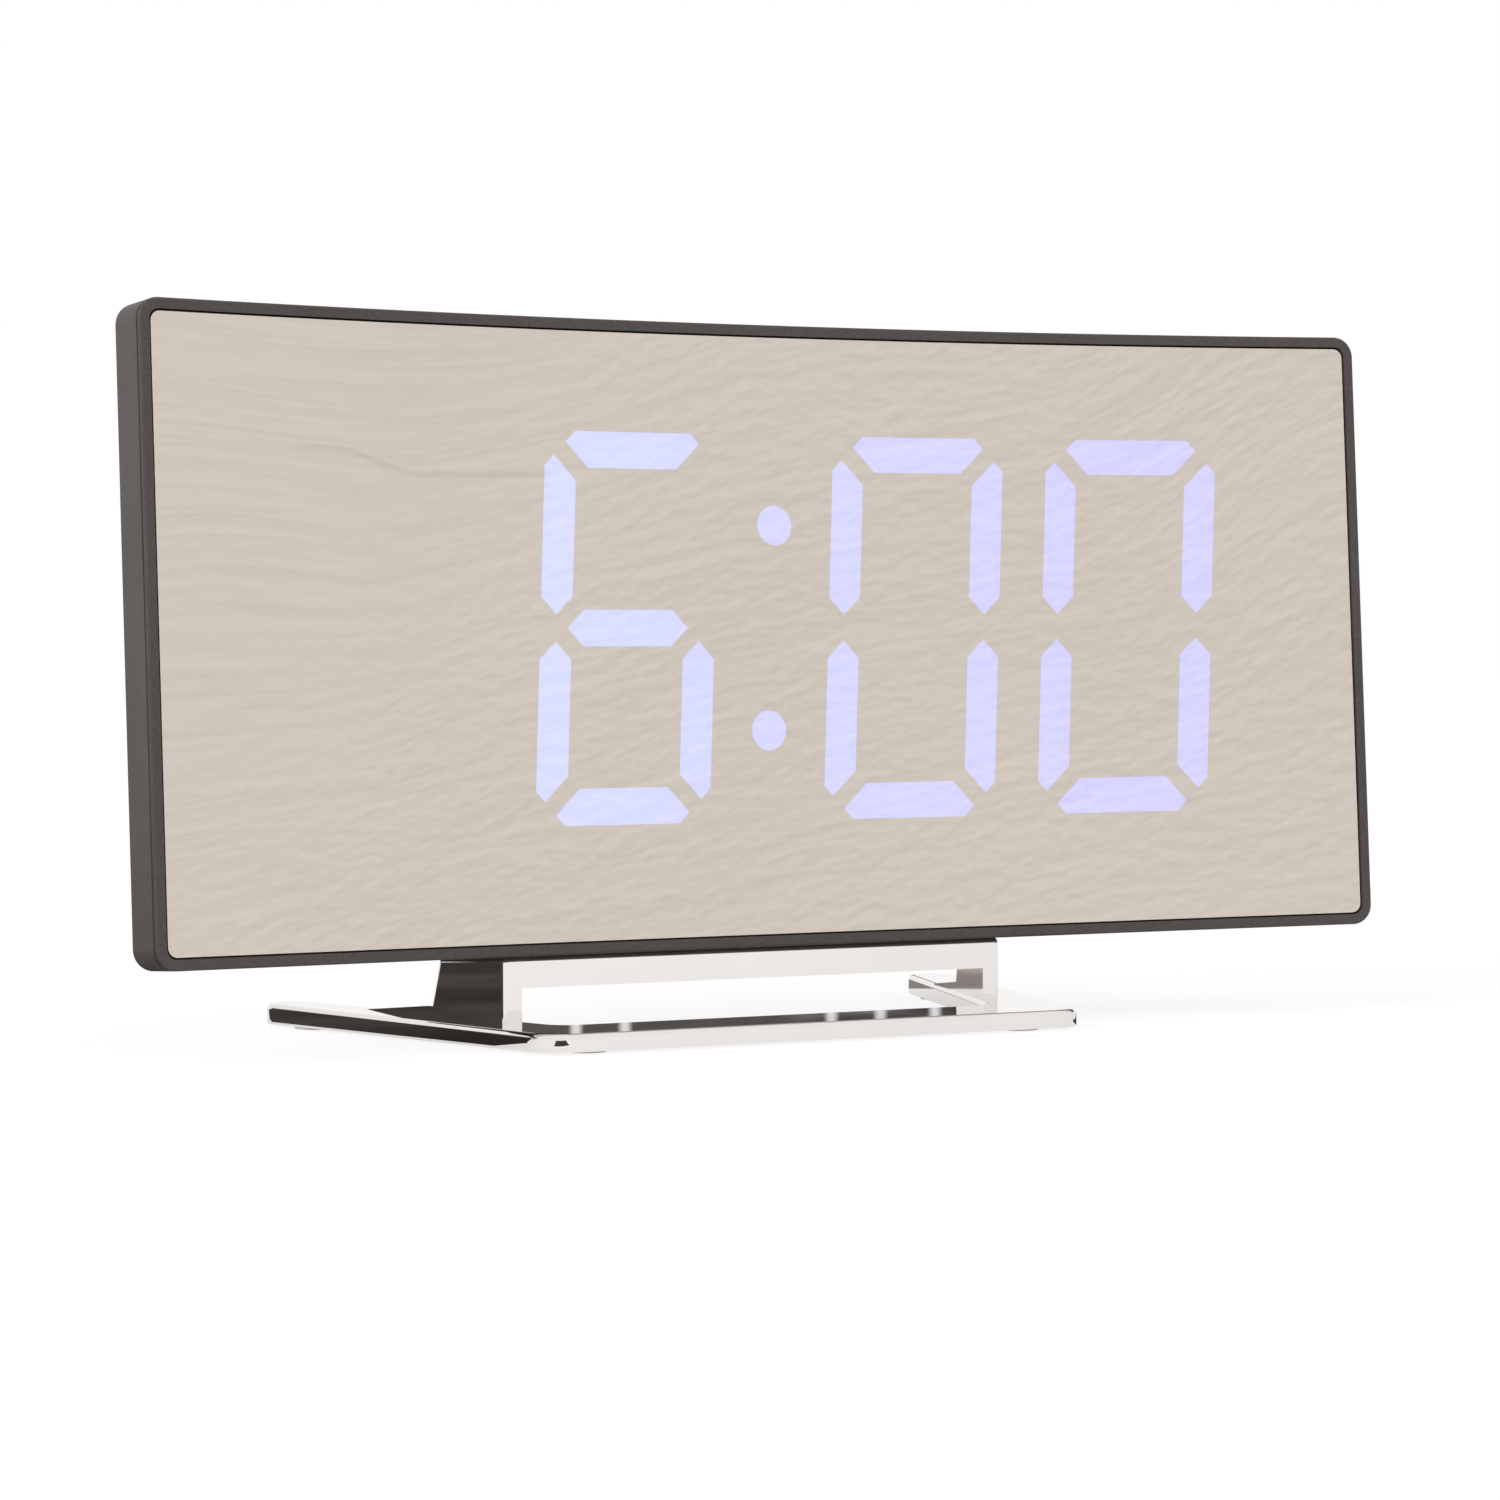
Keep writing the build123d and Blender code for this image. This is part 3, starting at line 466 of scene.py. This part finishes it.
# Dark boards beside the set, which only polished surfaces show
flags = {"left": {"place": (-0.1929, 0.0489, 0.0002), "size": (0.25, 0.196), "spin": 13.8, "tilt": 0},
         "leftUpright": {"place": (-0.245, 0.09, 0.025), "size": (0.2, 0.05), "spin": 60, "tilt": 90},
         "front": {"place": (-0.0451, -0.0447, 0.0002), "size": (0.011, 0.009), "spin": -29, "tilt": 0,
                   "reach": 0.02},
         "right": {"place": (0.0505, -0.0125, 0.0002), "size": (0.01, 0.03), "spin": -13.8, "tilt": 0},
         # middle: a grey board that stands in for the clock's shadow on the floor behind, painted shade seen
         # in the chrome
         "middle": {"place": (0.035, 0.075, 0.0002), "size": (0.05, 0.07), "spin": 0, "tilt": 0,
                    "shade": 8.0},
         # behind: a dark board with painted light streaks, a painted reflection in the bar's top
         "behind": {"place": (0.193, 0.338, 0.0587), "size": (0.102, 0.0376), "spin": -29, "tilt": 90,
                    "paintedStreaks": (0.1595, 0.169, 0.2091, 0.2186, 0.2292)}}
flagCloth = {"colour": (0.056, 0.05, 0.048), "spread": 0.3, "cloudSize": 26, "cloudRange": (0.35, 0.65),
             "streak": (0.9, 0.9, 0.9), "streakWidth": (0.0002, 0.0017), "streakShare": 0.6, "fade": 1.1}


def flag(name, settings):
    spin = Matrix.Rotation(radians(settings["spin"]), 4, "Z")
    tilt = Matrix.Rotation(radians(settings["tilt"]), 4, "X")
    board = flatPiece("flag_" + name, settings["size"], settings["place"], spin @ tilt)
    board.visible_camera = False
    board.visible_diffuse = False
    board.visible_shadow = False
    tree = finish("flag " + name)
    at = tree.place()
    across = tree.split(at)[0]
    cloud = tree.ranged(tree.noise(at, flagCloth["cloudSize"], 2), *flagCloth["cloudRange"], 0.0, 1.0)
    dark = tinted(flagCloth["colour"], settings.get("shade", 1.0))
    tone = tree.mottled(cloud, dark, flagCloth["spread"])
    for gap in settings.get("paintedStreaks", ()):  # painted reflection: soft light streaks that show as the lighter gaps in the dark band on the bar's top
        streak = tree.ranged(abs(across - gap), *flagCloth["streakWidth"], flagCloth["streakShare"], 0.0)
        tone = tree.blend(streak, tone, flagCloth["streak"])
    cloth = tree.node("ShaderNodeBsdfDiffuse", {}, {"Color": tone})
    clear = tree.node("ShaderNodeBsdfTransparent", {}, {})
    length = tree.node("ShaderNodeLightPath", {}, {}, "Ray Length")
    reach = settings.get("reach", stage["floorSize"])  # a board shows only to what stands this near
    hidden = tree.ranged(length, reach, reach * flagCloth["fade"], 0.0, 1.0)
    mixed = tree.node("ShaderNodeMixShader", {}, {0: hidden, 1: cloth, 2: clear})
    tree.node("ShaderNodeOutputMaterial", {}, {"Surface": mixed})
    board.data.materials.append(tree.owner)


for name, settings in flags.items():
    flag(name, settings)

lamps = {"key": {"place": (-1.0, -0.2, 0.6), "size": 0.9, "power": 13.0},
         "fill": {"place": (0.7, -0.9, 0.8), "size": 1.2, "power": 8.5}}
lampTarget = Vector((0, 0, 0.05))
for name, settings in lamps.items():
    lamp = bpy.data.lights.new(name, "AREA")
    lamp.size = settings["size"]
    lamp.energy = settings["power"]
    lampObject = addObject(name, lamp)
    lampObject.location = settings["place"]
    lampObject.rotation_euler = (lampTarget - lampObject.location).to_track_quat("-Z", "Y").to_euler()
    lampObject.visible_glossy = False

view = {"place": (-0.30954, -0.56748, 0.05759), "facing": (0.4851, 0.8739, -0.0301), "lens": 112.23,
        "sensor": 36.0}
camera = bpy.data.cameras.new("camera")
camera.sensor_fit = "HORIZONTAL"
camera.sensor_width = view["sensor"]
camera.lens = view["lens"]
cameraObject = addObject("camera", camera)
cameraObject.location = view["place"]
cameraObject.rotation_euler = Vector(view["facing"]).to_track_quat("-Z", "Y").to_euler()
bpy.context.scene.camera = cameraObject
bpy.context.scene.view_settings.view_transform = "Standard"
print("stage set")
